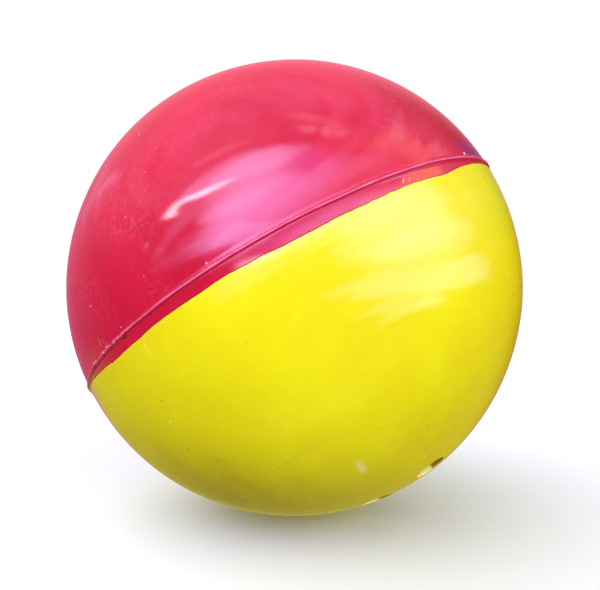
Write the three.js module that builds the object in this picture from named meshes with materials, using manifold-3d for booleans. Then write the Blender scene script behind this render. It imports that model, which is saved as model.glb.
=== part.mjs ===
// Bell ball for juggling: a hollow rubber ball made of a red and a yellow half shell,
// with a jingle bell rolling loose inside and a ring of sound holes at the yellow pole.
// Millimetres. Origin at the ball's centre, +Z along the seam axis, red half up.

import * as THREE from "three";
import { mergeVertices } from "three/addons/utils/BufferGeometryUtils.js";
import Module from "manifold-3d";

const wasm = await Module();
wasm.setup();

// ---------- driving dimensions ----------
const BALL_R = 52.5; // outer radius of the ball (105 mm across)
const WALL = 3.0; // rubber wall
const INNER_R = BALL_R - WALL;
const SEGMENTS = 56; // facets round the seam axis
const RINGS = 12; // facet rings from the seam to a pole

const RIDGE_H = 0.55; // flash ridge left by the mould, height over the ball
const RIDGE_HALF_W = 0.6; // half its width at the foot
const RIDGE_TOP = 0.16; // half its width at the crest

const BOND_GAP = 0.3; // glue line between the two shells
// Height of the colour edge round the ball, one value every 15 degrees from -Y towards +X.
const EDGE_Z = [
  -3.05, -3.25, -2.95, -2.75, -1.45, -1.05, -1.1, -1.6, -2.3, -2.8, -3.0, -2.7,
  -2.4, -2.6, -2.9, -2.6, -2.0, -1.4, -1.1, -1.05, -1.45, -2.7, -2.6, -2.7,
];

const HOLE_R = 3.5; // sound holes
const HOLE_COUNT = 4;
const HOLE_RING = 11.0; // radius of their ring, degrees of the ball's surface
const HOLE_FIRST = 27.7; // degrees from -Y towards +X
const HOLE_SHIFT_X = 2.0; // the ring is pierced a little off the pole, degrees towards +X
const HOLE_SHIFT_Y = -1.7; // and towards +Y

const BELL_R = 12.0; // outer radius of the bell's cups
const BELL_WALL = 0.6;
const BELL_SEGMENTS = 30;
const RIM_R = 13.2; // crimped rim round the bell's middle
const RIM_T = 0.6; // thickness of each cup's rim
const JOIN_GAP = 0.3; // between the two rims
const BELL_PLAY = 0.7; // between the bell and the ball's inner wall
const BELL_Z = -(INNER_R - BELL_R - BELL_PLAY);

const SLOT_W = 1.8; // sound slots in the lower cup
const SLOT_REACH = 8.2; // from the bell's axis to a slot's round end
const SLOT_END_R = 1.7;

const WIRE_R = 0.6; // the bell's wire loop
const LOOP_HALF_W = 2.2; // half the distance between its legs
const LEG_HOLE_R = 0.95; // holes in the upper cup that its legs pass through
const LOOP_TOP = 17.6; // from the bell's centre to the loop's crown centre line

const PELLET_R = 3.0; // steel ball inside the bell
const PELLET_PLAY = 0.5;

// ---------- helpers ----------
const rad = THREE.MathUtils.degToRad;

// A closed indexed geometry from any closed three.js geometry: only position is kept.
function closed(geometry) {
  const bare = geometry.clone();
  for (const key of Object.keys(bare.attributes)) {
    if (key !== "position") bare.deleteAttribute(key);
  }
  const merged = mergeVertices(bare, 1e-4);
  const index = merged.index.array;
  const kept = [];
  for (let i = 0; i < index.length; i += 3) {
    const [a, b, c] = [index[i], index[i + 1], index[i + 2]];
    if (a !== b && b !== c && a !== c) kept.push(a, b, c);
  }
  merged.setIndex(kept);
  return merged;
}

function solid(geometry) {
  const g = closed(geometry);
  return new wasm.Manifold(
    new wasm.Mesh({
      numProp: 3,
      vertProperties: new Float32Array(g.attributes.position.array),
      triVerts: new Uint32Array(g.index.array),
    }),
  );
}

function toGeometry(manifold) {
  const mesh = manifold.getMesh();
  const g = new THREE.BufferGeometry();
  const p = new Float32Array((mesh.vertProperties.length / mesh.numProp) * 3);
  for (let i = 0; i < p.length / 3; i++) {
    for (let k = 0; k < 3; k++) p[3 * i + k] = mesh.vertProperties[mesh.numProp * i + k];
  }
  g.setAttribute("position", new THREE.BufferAttribute(p, 3));
  g.setIndex(new THREE.BufferAttribute(new Uint32Array(mesh.triVerts), 1));
  g.computeVertexNormals();
  return g;
}

// A profile of [radius, height] points, turned round +Z.
function turned(profile, segments) {
  const g = new THREE.LatheGeometry(
    profile.map(([r, z]) => new THREE.Vector2(r, z)),
    segments,
  );
  g.rotateX(Math.PI / 2);
  return g;
}

// A rod of radius r along the direction dir, from distance a to distance b from the point at.
function rod(r, dir, a, b, segments, at = new THREE.Vector3()) {
  const g = new THREE.CylinderGeometry(r, r, b - a, segments);
  const turn = new THREE.Quaternion().setFromUnitVectors(new THREE.Vector3(0, 1, 0), dir);
  g.applyQuaternion(turn);
  const mid = at.clone().addScaledVector(dir, (a + b) / 2);
  g.translate(mid.x, mid.y, mid.z);
  return g;
}

// Direction at an angle from the yellow pole (-Z) and a bearing from -Y towards +X.
function fromPole(angle, bearing) {
  return new THREE.Vector3(
    Math.sin(angle) * Math.sin(bearing),
    -Math.sin(angle) * Math.cos(bearing),
    -Math.cos(angle),
  );
}

// The colour edge's height at a bearing, smooth through EDGE_Z.
function edgeZ(bearing) {
  const n = EDGE_Z.length;
  const t = ((((bearing / (2 * Math.PI)) % 1) + 1) % 1) * n;
  const i = Math.floor(t);
  const u = t - i;
  const [a, b, c, d] = [-1, 0, 1, 2].map((k) => EDGE_Z[(i + k + n) % n]);
  return b + 0.5 * u * (c - a + u * (2 * a - 5 * b + 4 * c - d + u * (3 * (b - c) + d - a)));
}

// ---------- the two shells ----------
// side is +1 for the red half and -1 for the yellow one. The profile runs from the pole over
// the outside to the cut at the colour edge, and back along the inside.
const EDGE_REF = -2.3; // height of the flat cut before it is given its wave
function shell(side) {
  const cut = EDGE_REF + (side * BOND_GAP) / 2;
  const arc = (r, from, to, n) => {
    const points = [];
    for (let i = 0; i <= n; i++) {
      const lat = from + ((to - from) * i) / n;
      points.push([r * Math.cos(lat), r * Math.sin(lat)]);
    }
    return points;
  };
  const pole = (side * Math.PI) / 2;
  const cutOut = Math.asin(cut / BALL_R);
  const cutIn = Math.asin(cut / INNER_R);
  let outside;
  if (side > 0) {
    const foot = Math.asin(RIDGE_HALF_W / BALL_R);
    outside = [
      ...arc(BALL_R, pole, foot, RINGS),
      [BALL_R + RIDGE_H, RIDGE_TOP],
      [BALL_R + RIDGE_H, -RIDGE_TOP],
      ...arc(BALL_R, -foot, cutOut, 1),
    ];
  } else {
    outside = arc(BALL_R, pole, cutOut, RINGS);
  }
  const inside = arc(INNER_R, cutIn, pole, RINGS);
  const profile = [...outside, ...inside];
  profile[0][0] = 0;
  profile[profile.length - 1][0] = 0;
  if (side < 0) profile.reverse();
  profile.reverse();
  const g = turned(profile, SEGMENTS);
  // the wave of the colour edge fades out over the band next to it
  const p = g.attributes.position;
  for (let i = 0; i < p.count; i++) {
    const [x, y, z] = [p.getX(i), p.getY(i), p.getZ(i)];
    const away = Math.abs(z - cut);
    const reach = side > 0 ? 0.9 : 8.0;
    const share = Math.max(0, 1 - away / reach);
    if (share <= 0) continue;
    const r = Math.hypot(x, y, z);
    const moved = z + share * (edgeZ(Math.atan2(x, -y)) - EDGE_REF);
    const flat = Math.sqrt(r * r - moved * moved);
    const old = Math.hypot(x, y);
    p.setXYZ(i, (x / old) * flat, (y / old) * flat, moved);
  }
  return g;
}

function redShell() {
  return closed(shell(1));
}

function yellowShell() {
  let body = solid(shell(-1));
  for (let i = 0; i < HOLE_COUNT; i++) {
    const turn = rad(HOLE_FIRST + (360 / HOLE_COUNT) * i);
    const x = HOLE_RING * Math.sin(turn) + HOLE_SHIFT_X;
    const y = -HOLE_RING * Math.cos(turn) + HOLE_SHIFT_Y;
    const dir = fromPole(rad(Math.hypot(x, y)), Math.atan2(x, -y));
    body = body.subtract(solid(rod(HOLE_R, dir, INNER_R - 4, BALL_R + 4, 28)));
  }
  return toGeometry(body);
}

// ---------- the bell ----------
// One cup with its flat rim; side +1 opens downwards, -1 upwards. Built round the bell's centre.
function cup(side) {
  const low = JOIN_GAP / 2;
  const inner = BELL_R - BELL_WALL;
  const n = 7;
  const profile = [];
  for (let i = 0; i <= n; i++) {
    const lat = Math.PI / 2 + ((Math.asin((low + RIM_T) / BELL_R) - Math.PI / 2) * i) / n;
    profile.push([BELL_R * Math.cos(lat), BELL_R * Math.sin(lat)]);
  }
  profile.push([RIM_R, low + RIM_T], [RIM_R, low]);
  for (let i = 0; i <= n; i++) {
    const from = Math.asin(low / inner);
    const lat = from + ((Math.PI / 2 - from) * i) / n;
    profile.push([inner * Math.cos(lat), inner * Math.sin(lat)]);
  }
  profile[0][0] = 0;
  profile[profile.length - 1][0] = 0;
  const points = profile.map(([r, z]) => [r, side * z]);
  if (side > 0) points.reverse();
  return turned(points, BELL_SEGMENTS);
}

function upperCup() {
  let body = solid(cup(1));
  for (const x of [-LOOP_HALF_W, LOOP_HALF_W]) {
    const up = new THREE.Vector3(0, 0, 1);
    body = body.subtract(solid(rod(LEG_HOLE_R, up, 8, 14, 14, new THREE.Vector3(x, 0, 0))));
  }
  return toGeometry(body);
}

function lowerCup() {
  let body = solid(cup(-1));
  const down = new THREE.Vector3(0, 0, -1);
  for (const turn of [45, 135]) {
    const slot = new THREE.BoxGeometry(2 * SLOT_REACH, SLOT_W, 12);
    slot.translate(0, 0, -9);
    slot.rotateZ(rad(turn));
    body = body.subtract(solid(slot));
    for (const s of [-1, 1]) {
      const at = new THREE.Vector3(
        s * SLOT_REACH * Math.cos(rad(turn)),
        s * SLOT_REACH * Math.sin(rad(turn)),
        0,
      );
      body = body.subtract(solid(rod(SLOT_END_R, down, 3, 15, 16, at)));
    }
  }
  return toGeometry(body);
}

// Wire loop: up one leg, round the crown, down the other, with both feet splayed inside the cup.
function loop() {
  const foot = 9.6;
  const top = LOOP_TOP - LOOP_HALF_W;
  const points = [
    [-LOOP_HALF_W - 2.4, foot - 0.9],
    [-LOOP_HALF_W - 0.9, foot - 0.1],
    [-LOOP_HALF_W, foot + 1.2],
    [-LOOP_HALF_W, foot + 3.2],
    [-LOOP_HALF_W, top],
    [-LOOP_HALF_W * 0.72, top + LOOP_HALF_W * 0.72],
    [0, top + LOOP_HALF_W],
    [LOOP_HALF_W * 0.72, top + LOOP_HALF_W * 0.72],
    [LOOP_HALF_W, top],
    [LOOP_HALF_W, foot + 3.2],
    [LOOP_HALF_W, foot + 1.2],
    [LOOP_HALF_W + 0.9, foot - 0.1],
    [LOOP_HALF_W + 2.4, foot - 0.9],
  ].map(([x, z]) => new THREE.Vector3(x, 0, z));
  const path = new THREE.CatmullRomCurve3(points, false, "centripetal");
  const section = new THREE.Shape();
  section.absarc(0, 0, WIRE_R, 0, 2 * Math.PI, false);
  return closed(
    new THREE.ExtrudeGeometry(section, {
      steps: 30,
      extrudePath: path,
      curveSegments: 4,
      bevelEnabled: false,
    }),
  );
}

function pellet() {
  return closed(new THREE.SphereGeometry(PELLET_R, 20, 12));
}

// ---------- scene ----------
const part = new THREE.Group();

function add(parent, name, geometry, color, roughness, metalness) {
  geometry.computeVertexNormals();
  const mesh = new THREE.Mesh(
    geometry,
    new THREE.MeshStandardMaterial({ color, roughness, metalness }),
  );
  mesh.name = name;
  parent.add(mesh);
  return mesh;
}

add(part, "red_half_shell", redShell(), 0xd0193f, 0.28, 0.0);
add(part, "yellow_half_shell", yellowShell(), 0xf0e618, 0.3, 0.0);

const bell = new THREE.Group();
bell.position.set(0, 0, BELL_Z);
part.add(bell);
add(bell, "bell_upper_cup", upperCup(), 0xc8ccd0, 0.25, 1.0);
add(bell, "bell_lower_cup", lowerCup(), 0xc8ccd0, 0.25, 1.0);
add(bell, "bell_loop", loop(), 0xb9bdc2, 0.3, 1.0);
const ball = add(bell, "bell_pellet", pellet(), 0x8f9397, 0.35, 1.0);
ball.position.set(0, 0, -(BELL_R - BELL_WALL - PELLET_R - PELLET_PLAY));

export default part;
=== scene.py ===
# Looks of the bell ball: a hollow two-colour rubber ball, 105 mm across, with a jingle bell inside.
# Metres, in the row frame: origin at the ball's centre, +Z along the seam axis, red half up.
import math

import bpy
import bmesh
import numpy as np
from mathutils import Matrix, Vector


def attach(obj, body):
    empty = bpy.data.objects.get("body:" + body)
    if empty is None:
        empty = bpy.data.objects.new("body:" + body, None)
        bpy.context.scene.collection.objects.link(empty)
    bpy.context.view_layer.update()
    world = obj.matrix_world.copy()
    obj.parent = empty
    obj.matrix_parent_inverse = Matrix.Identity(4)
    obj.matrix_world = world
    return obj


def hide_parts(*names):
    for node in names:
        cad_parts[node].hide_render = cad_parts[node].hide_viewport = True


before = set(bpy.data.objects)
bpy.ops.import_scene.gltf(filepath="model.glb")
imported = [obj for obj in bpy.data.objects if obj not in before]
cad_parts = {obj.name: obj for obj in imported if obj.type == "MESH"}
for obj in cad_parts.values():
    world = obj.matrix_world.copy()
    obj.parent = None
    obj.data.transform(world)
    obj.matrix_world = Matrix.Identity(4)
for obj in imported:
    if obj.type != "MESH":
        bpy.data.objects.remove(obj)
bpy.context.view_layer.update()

MM = 0.001
R = 52.5  # outer radius, mm
WALL = 3.0
RI = R - WALL
RNG = np.random.RandomState(7)

# ------------------------------------------------------------------ camera
RIGHT = np.array([0.8709, 0.1020, -0.4807])
UP = np.array([0.4914, -0.1762, 0.8528])
BACK = np.cross(RIGHT, UP)
BACK /= np.linalg.norm(BACK)
UP = np.cross(BACK, RIGHT)
UP /= np.linalg.norm(UP)
RIGHT = np.cross(UP, BACK)
DIST = 203.5  # mm from the ball's centre
FOCAL = 855.0  # px over a 600 px wide frame
BALL_AT = (294.5, 287.6)  # where the ball's centre lies in the 600x590 frame

cam_data = bpy.data.cameras.new("view_camera")
cam_data.sensor_width = 36.0
cam_data.lens = FOCAL / 600.0 * 36.0
cam_data.shift_x = (300.0 - BALL_AT[0]) / 600.0
cam_data.shift_y = -(295.0 - BALL_AT[1]) / 600.0
cam_data.clip_start, cam_data.clip_end = 0.005, 20.0
cam = bpy.data.objects.new("view_camera", cam_data)
bpy.context.scene.collection.objects.link(cam)
m = Matrix.Identity(4)
for i in range(3):
    m[i][0], m[i][1], m[i][2] = RIGHT[i], UP[i], BACK[i]
    m[i][3] = BACK[i] * DIST * MM
cam.matrix_world = m
bpy.context.scene.camera = cam
bpy.context.scene.view_settings.view_transform = "Standard"
bpy.context.scene.view_settings.look = "None"


# ------------------------------------------------------------------ helpers
def smooth(x):
    x = np.clip(x, 0, 1)
    return x * x * (3 - 2 * x)


def wave(theta, seed, low, high, power=1.0):
    """A smooth repeatable wobble round the ball, about -1 to 1, from low to high cycles a turn."""
    rng = np.random.RandomState(seed)
    out = np.zeros_like(theta)
    total = 0.0
    for n in range(low, high + 1):
        a = rng.normal() / (n / low) ** power
        out += a * np.cos(n * theta + rng.uniform(0, 2 * np.pi))
        total += a * a / 2
    return out / math.sqrt(max(total, 1e-9)) / 1.6


def bump(x, centre, width):
    return np.exp(-(((x - centre) / width) ** 2))


def around(theta, degrees, width):
    """A bump at a bearing, with its width in degrees."""
    d = (np.degrees(theta) - degrees + 180) % 360 - 180
    return np.exp(-((d / width) ** 2))


def mesh_object(name, co, faces):
    mesh = bpy.data.meshes.new(name)
    mesh.from_pydata([tuple(c) for c in np.asarray(co) * MM], [], faces)
    mesh.update()
    mesh.polygons.foreach_set("use_smooth", [True] * len(mesh.polygons))
    obj = bpy.data.objects.new(name, mesh)
    bpy.context.scene.collection.objects.link(obj)
    return obj


def band(rows, base, n, closed_ring=True):
    """Quads between successive rings of n points each, the first ring at index base."""
    faces = []
    for r in range(rows - 1):
        a = base + r * n
        b = a + n
        for j in range(n if closed_ring else n - 1):
            k = (j + 1) % n
            faces.append((a + j, a + k, b + k, b + j))
    return faces


# ------------------------------------------------------------------ shape of the rubber
# Height of the colour edge under the mould line at bearings from -Y towards +X, mm.
EDGE = [
    (-180, 2.4), (-168, 2.7), (-150, 2.9), (-135, 2.6), (-120, 2.0), (-105, 1.3), (-90, 0.9), (-80, 0.65), (-74, 0.6),
    (-70, 0.75), (-66, 0.95), (-62, 1.3), (-58, 1.6), (-54, 1.9), (-50, 2.2), (-47, 2.62), (-44, 2.78), (-40, 2.78),
    (-34, 2.82), (-30, 2.62), (-24, 2.72), (-16, 2.72), (-10, 2.72), (-6, 2.94), (-2, 3.0), (2, 3.35), (8, 3.36),
    (14, 3.24), (22, 3.18), (28, 2.95), (34, 2.78), (38, 2.86), (42, 2.98), (45, 2.86), (49, 2.3), (53, 1.85),
    (57, 1.55), (62, 1.32), (68, 1.12), (74, 1.0), (80, 0.95), (90, 1.0), (105, 1.25), (120, 1.7), (135, 2.3),
    (150, 2.75), (165, 2.6), (180, 2.4),
]
EDGE_D = np.radians([e[0] for e in EDGE])
EDGE_H = np.array([e[1] for e in EDGE])


def edge_z(theta):
    t = (theta + np.pi) % (2 * np.pi) - np.pi
    base = -np.interp(t, EDGE_D, EDGE_H)
    rough = 0.018 + 0.055 * around(theta, -58, 16) + 0.03 * around(theta, 30, 10) + 0.03 * smooth((np.abs(t) - 1.5) / 0.3)
    return base + rough * wave(theta, 11, 60, 220, 0.9) + 0.045 * wave(theta, 12, 12, 60, 0.8)


def ridge(theta, z):
    """Radial height of the mould line and its torn flash, mm."""
    deg = (np.degrees(theta) + 180) % 360 - 180
    torn = np.maximum(around(theta, -43, 7.5), 0.95 * around(theta, -56, 3.5))
    torn = np.maximum(torn, 0.75 * around(theta, 133, 9))
    torn = np.maximum(torn, 0.6 * around(theta, -168, 6))
    mid = 0.05 * wave(theta, 21, 5, 30) + torn * 0.15 * wave(theta, 22, 90, 330, 0.2)
    high = 0.36 + 0.05 * wave(theta, 23, 8, 60) + 0.02 * wave(theta, 24, 100, 300, 0.2)
    high = high + torn * (0.05 + 0.18 * wave(theta, 25, 90, 340, 0.1))
    half = 0.24 + 0.03 * wave(theta, 26, 10, 60) + torn * 0.09 * wave(theta, 27, 80, 300, 0.2)
    up = z - mid
    # the crest leans over a little, so its lower side is the steeper
    side = np.where(up > 0, half * 1.35, half * 0.8)
    h = high * np.exp(-np.abs(up / side) ** 2.4)
    # shoulder above, groove under it
    h = h + 0.05 * np.exp(-(((up - 0.42) / 0.42) ** 2))
    h = h - 0.09 * np.exp(-(((up + 0.36) / 0.13) ** 2))
    # second line on the right-hand side and behind
    twin = smooth((deg - 24) / 22) * smooth((150 - deg) / 40)
    twin = np.maximum(twin, 0.6 * smooth((-88 - deg) / 12) * smooth((deg + 150) / 20))
    gap = 0.66 + 0.05 * wave(theta, 28, 4, 24)
    h = h + twin * 0.17 * np.exp(-np.abs((up + gap) / 0.13) ** 2.4)
    h = h + twin * 0.07 * np.exp(-np.abs((up - 0.62) / 0.13) ** 2.4)
    # torn tags pulled up over the red
    tags = torn * np.clip(wave(theta, 29, 90, 300, 0.1) - 0.35, 0, 2)
    h = h + 0.85 * tags * np.exp(-(((up - 0.38) / 0.30) ** 2))
    # one nick under the line
    h = h - 0.20 * around(theta, -38.5, 0.8) * np.exp(-(((up + 0.75) / 0.35) ** 2))
    return h


def swell(x, y, z):
    """Very slight unevenness of a moulded rubber ball, mm."""
    return (
        0.030 * np.sin(0.11 * x + 0.4) * np.cos(0.09 * y - 0.3)
        + 0.024 * np.cos(0.13 * z + 0.07 * x + 1.0)
        + 0.012 * np.sin(0.31 * y + 0.22 * z) * np.sin(0.27 * x - 0.1)
    )


def on_ball(theta, z, extra=0.0, radius=R, even=True):
    """Points of the ball's surface at a bearing and a height, with extra mm added outwards."""
    flat = np.sqrt(np.maximum(radius * radius - z * z, 0))
    p = np.stack([flat * np.sin(theta), -flat * np.cos(theta), z * np.ones_like(theta)], -1)
    n = p / radius
    if even:
        extra = extra + swell(p[..., 0], p[..., 1], p[..., 2])
    return p + n * np.asarray(extra)[..., None]


N = 1200
TH = np.arange(N) * 2 * np.pi / N
ZE = edge_z(TH)


def red_shell():
    rows = []
    for lat in np.linspace(88.6, 8.0, 64):
        rows.append(on_ball(TH, np.full(N, R * math.sin(math.radians(lat)))))
    z0 = R * math.sin(math.radians(8.0))
    for z in np.concatenate([np.linspace(z0, 2.0, 14)[1:], np.concatenate([np.arange(1.92, 0.90, -0.08), np.arange(0.88, -0.01, -0.05)])]):
        zz = np.full(N, z)
        fade = smooth((3.0 - z) / 1.2)
        rows.append(on_ball(TH, zz, ridge(TH, zz) * fade))
    # from the mould line down to the colour edge
    for s in np.linspace(0, 1, 52)[1:] ** 1.25:
        zz = -0.04 + (ZE + 0.10 + 0.04) * s
        rows.append(on_ball(TH, zz, ridge(TH, zz) * smooth((zz - ZE) / 0.5)))
    # the red runs in under the yellow's lip
    for dz, dr in ((0.05, -0.03), (0.015, -0.12), (0.01, -0.3), (0.01, -1.4)):
        rows.append(on_ball(TH, ZE + dz, np.full(N, dr)))
    rows.append(on_ball(TH, ZE + 0.01, 0.0, radius=RI, even=False))
    z_in = ZE + 0.01
    for s in np.linspace(0, 1, 12)[1:]:
        rows.append(on_ball(TH, z_in * (1 - s) + 3.0 * s, 0.0, radius=RI, even=False))
    lat0 = math.degrees(math.asin(3.0 / RI))
    for lat in np.linspace(lat0, 88.6, 30)[1:]:
        rows.append(on_ball(TH, np.full(N, RI * math.sin(math.radians(lat))), 0.0, radius=RI, even=False))
    co = np.concatenate(rows)
    faces = band(len(rows), 0, N)
    faces = [f[::-1] for f in faces]
    top, bottom = len(co), len(co) + 1
    co = np.vstack([co, on_ball(np.array([0.0]), np.array([R])), [[0, 0, RI]]])
    last = (len(rows) - 1) * N
    for j in range(N):
        k = (j + 1) % N
        faces.append((top, j, k))
        faces.append((bottom, last + k, last + j))
    return mesh_object("red_rubber_shell", co, faces)


HOLE_R = 3.45
HOLE_RING = 11.0  # degrees, radius of the ring of holes
HOLE_FIRST = 27.7
HOLE_SHIFT = (2.0, -1.7)  # degrees, the ring is pierced a little off the pole
CAP = math.radians(25.0)  # the cap round the pole that the holes are in
CAP_TURN = math.radians(28.9)
LIP = 0.26  # rounding of a hole's rim


def hole_axis(k):
    """Direction of the k-th sound hole."""
    turn = math.radians(HOLE_FIRST + 90.0 * k)
    x = HOLE_RING * math.sin(turn) + HOLE_SHIFT[0]
    y = -HOLE_RING * math.cos(turn) + HOLE_SHIFT[1]
    return pole_dir(math.radians(math.hypot(x, y)), math.atan2(x, -y))


def pole_dir(angle, bearing):
    return np.array([math.sin(angle) * math.sin(bearing), -math.sin(angle) * math.cos(bearing), -math.cos(angle)])


def yellow_shell():
    co, faces = [], []

    def add(points):
        start = sum(len(c) for c in co)
        co.append(points)
        return start

    rows = []
    # up the inside from the cap to the edge, over the lip, and down the outside to the cap
    cap_lat = -(math.pi / 2 - CAP)
    for lat in np.linspace(cap_lat, math.asin(-4.5 / RI), 24):
        rows.append(on_ball(TH, np.full(N, RI * math.sin(lat)), 0.0, radius=RI, even=False))
    for s in np.linspace(0, 1, 8)[1:]:
        rows.append(on_ball(TH, -4.5 * (1 - s) + (ZE - 0.01) * s, 0.0, radius=RI, even=False))
    ragged = 1 + 0.20 * wave(TH, 31, 10, 90, 0.8)
    for dz, dr in ((-0.01, -1.4), (-0.01, -0.3), (-0.015, -0.10), (-0.03, 0.0), (-0.06, 0.025), (-0.11, 0.045), (-0.19, 0.055), (-0.32, 0.055), (-0.55, 0.05), (-0.9, 0.042), (-1.3, 0.032), (-1.8, 0.02), (-2.3, 0.008), (-2.8, 0.0)):
        up = dr * ragged if dr > 0 else np.full(N, dr)
        rows.append(on_ball(TH, ZE + dz, up))
    z_low = -8.0
    for s in np.linspace(0, 1, 14)[1:]:
        rows.append(on_ball(TH, (ZE - 2.8) * (1 - s) + z_low * s))
    for lat in np.linspace(math.asin(z_low / R), cap_lat, 72)[1:]:
        z = np.full(N, R * math.sin(lat))
        rows.append(on_ball(TH, z, crease(on_ball(TH, z, even=False))))
    start = add(np.concatenate(rows))
    faces += [f[::-1] for f in band(len(rows), start, N)]
    ring_in, ring_out = start, start + (len(rows) - 1) * N

    # the cap: four sectors, each with one hole, meshed along rays from the hole's rim
    sector = N // 4
    first = int(round((CAP_TURN - math.pi / 4) / (2 * math.pi) * N))
    spokes = 72

    def flat_to_ball(q, radius, extra=None):
        """A point of the cap's polar map (angle from the pole times bearing's direction) on a sphere."""
        ang = np.hypot(q[..., 0], q[..., 1])
        s = np.where(ang > 1e-9, np.sin(ang) / np.maximum(ang, 1e-9), 1.0)
        p = np.stack([q[..., 0] * s, q[..., 1] * s, -np.cos(ang)], -1) * radius
        return p

    def bearing_xy(b, a):
        return np.stack([a * np.sin(b), -a * np.cos(b)], -1)

    steps = np.linspace(0, 1, spokes + 1)
    # shared straight edges between the sectors, from the cap's rim in to the pole
    edges = []
    for k in range(4):
        j = (first + k * sector) % N
        b = TH[j]
        a = CAP * (1 - steps[1:-1])
        q = bearing_xy(np.full(len(a), b), a)
        outer = flat_to_ball(q, R)
        outer = outer / R * (R + swell(outer[:, 0], outer[:, 1], outer[:, 2]) + crease(outer))[:, None]
        edges.append((j, q, add(outer), add(flat_to_ball(q, RI))))
    pole_out = add(np.array([[0, 0, -R - float(swell(0, 0, -R))]]))
    pole_in = add(np.array([[0, 0, -RI]]))
    rays_t = np.linspace(0, 1, 34) ** 1.7
    for k in range(4):
        j0, q0, o0, i0 = edges[k]
        j1, q1, o1, i1 = edges[(k + 1) % 4]
        arc = [(j0 + i) % N for i in range(sector + 1)]
        axis = hole_axis(k)
        ex = np.cross(axis, [0, 0, 1.0])
        ex /= np.linalg.norm(ex)
        ey = np.cross(axis, ex)
        # the boundary loop, once round the sector: arc, in along edge k+1, pole, out along edge k
        loop_q = np.concatenate([bearing_xy(TH[arc], np.full(len(arc), CAP)), q1, [[0.0, 0.0]], q0[::-1]])
        out_ids = [ring_out + j for j in arc] + [o1 + i for i in range(len(q1))] + [pole_out] + [o0 + i for i in range(len(q0))][::-1]
        in_ids = [ring_in + j for j in arc] + [i1 + i for i in range(len(q1))] + [pole_in] + [i0 + i for i in range(len(q0))][::-1]
        n = len(out_ids)
        outer_loop = flat_to_ball(loop_q, R)
        # bearing of each boundary point as seen from the hole's axis
        alpha = np.arctan2(outer_loop @ ey, outer_loop @ ex)
        uneven = 1 + 0.012 * wave(alpha, 40 + k, 2, 7)
        lip = HOLE_R + LIP

        def ring_at(radius_mm, height):
            r = radius_mm * uneven
            return (
                np.outer(r * np.cos(alpha), ex) + np.outer(r * np.sin(alpha), ey) + np.outer(height * np.ones(n), axis)
            )

        def on_sphere(radius_mm, radius):
            """The ring of this radius about the hole's axis, lying on a sphere."""
            r = radius_mm * uneven
            return ring_at(radius_mm, np.sqrt(radius * radius - r * r))

        rim_out, rim_in = on_sphere(lip, R), on_sphere(lip, RI)
        previous = None
        ids = []
        # outside: from the boundary loop in to the rim
        for t in rays_t[::-1][1:]:
            p = outer_loop * t + rim_out * (1 - t)
            p = p / np.linalg.norm(p, axis=1, keepdims=True)
            rise = 0.06 * np.exp(-((t / 0.10) ** 2))  # a slight raised flash round each hole
            q = p * R
            p = p * (R + swell(q[:, 0], q[:, 1], q[:, 2]) + crease(q) + rise)[:, None]
            ids.append(add(p))
        # the rounded rim, the wall and the inner rim
        top = math.sqrt(R * R - lip * lip)
        low = math.sqrt(RI * RI - lip * lip)
        for a in np.linspace(0, math.pi / 2, 7)[1:]:
            ids.append(add(ring_at(lip - LIP * math.sin(a), top + 0.05 - LIP * (1 - math.cos(a)) - 0.05 * a / (math.pi / 2))))
        for s in np.linspace(0, 1, 9)[1:]:
            h = (top - LIP) * (1 - s) + (low + LIP) * s
            ids.append(add(ring_at(HOLE_R + 0.05 * math.sin(3.0 * s), h)))
        for a in np.linspace(math.pi / 2, 0, 7)[1:]:
            ids.append(add(ring_at(lip - LIP * math.sin(a), low + LIP * (1 - math.cos(a)))))
        for t in rays_t[1:-1:2]:
            inner_loop = outer_loop / R * RI
            p = inner_loop * t + rim_in * (1 - t)
            p = p / np.linalg.norm(p, axis=1, keepdims=True) * RI
            ids.append(add(p))
        chain = [out_ids] + [[s + i for i in range(n)] for s in ids] + [in_ids]
        for a, b in zip(chain[:-1], chain[1:]):
            for i in range(n):
                i2 = (i + 1) % n
                faces.append((a[i], b[i], b[i2], a[i2]))
    obj = mesh_object("yellow_rubber_shell", np.concatenate(co), faces)
    bm = bmesh.new()
    bm.from_mesh(obj.data)
    bmesh.ops.recalc_face_normals(bm, faces=bm.faces)
    bm.to_mesh(obj.data)
    bm.free()
    return obj


def crease(p):
    """A shallow fold line across the yellow rubber near the sound holes, mm."""
    p = np.asarray(p, float)
    n = p / np.linalg.norm(p, axis=-1, keepdims=True)
    out = np.zeros(p.shape[:-1])
    for (a0, b0), (a1, b1), deep, width in CREASES:
        u = pole_dir(math.radians(a0), math.radians(b0))
        v = pole_dir(math.radians(a1), math.radians(b1))
        w = np.cross(u, v)
        length = math.asin(np.linalg.norm(w))
        w /= np.linalg.norm(w)
        off = np.arcsin(np.clip(n @ w, -1, 1)) * R
        along = np.arctan2(n @ np.cross(w, u), n @ u) / length
        ends = smooth(along / 0.15) * smooth((1 - along) / 0.25)
        out -= deep * ends * np.exp(-((off / width) ** 2))
    return out


# from (angle from the yellow pole, bearing) to the same, depth and half width in mm
CREASES = [
    ((31.0, -66.0), (19.5, -44.0), 0.10, 0.55),
    ((19.5, -44.0), (25.0, -30.0), 0.07, 0.5),
    ((24.0, 118.0), (38.0, 96.0), 0.06, 0.5),
]

red = red_shell()
yellow = yellow_shell()


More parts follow.
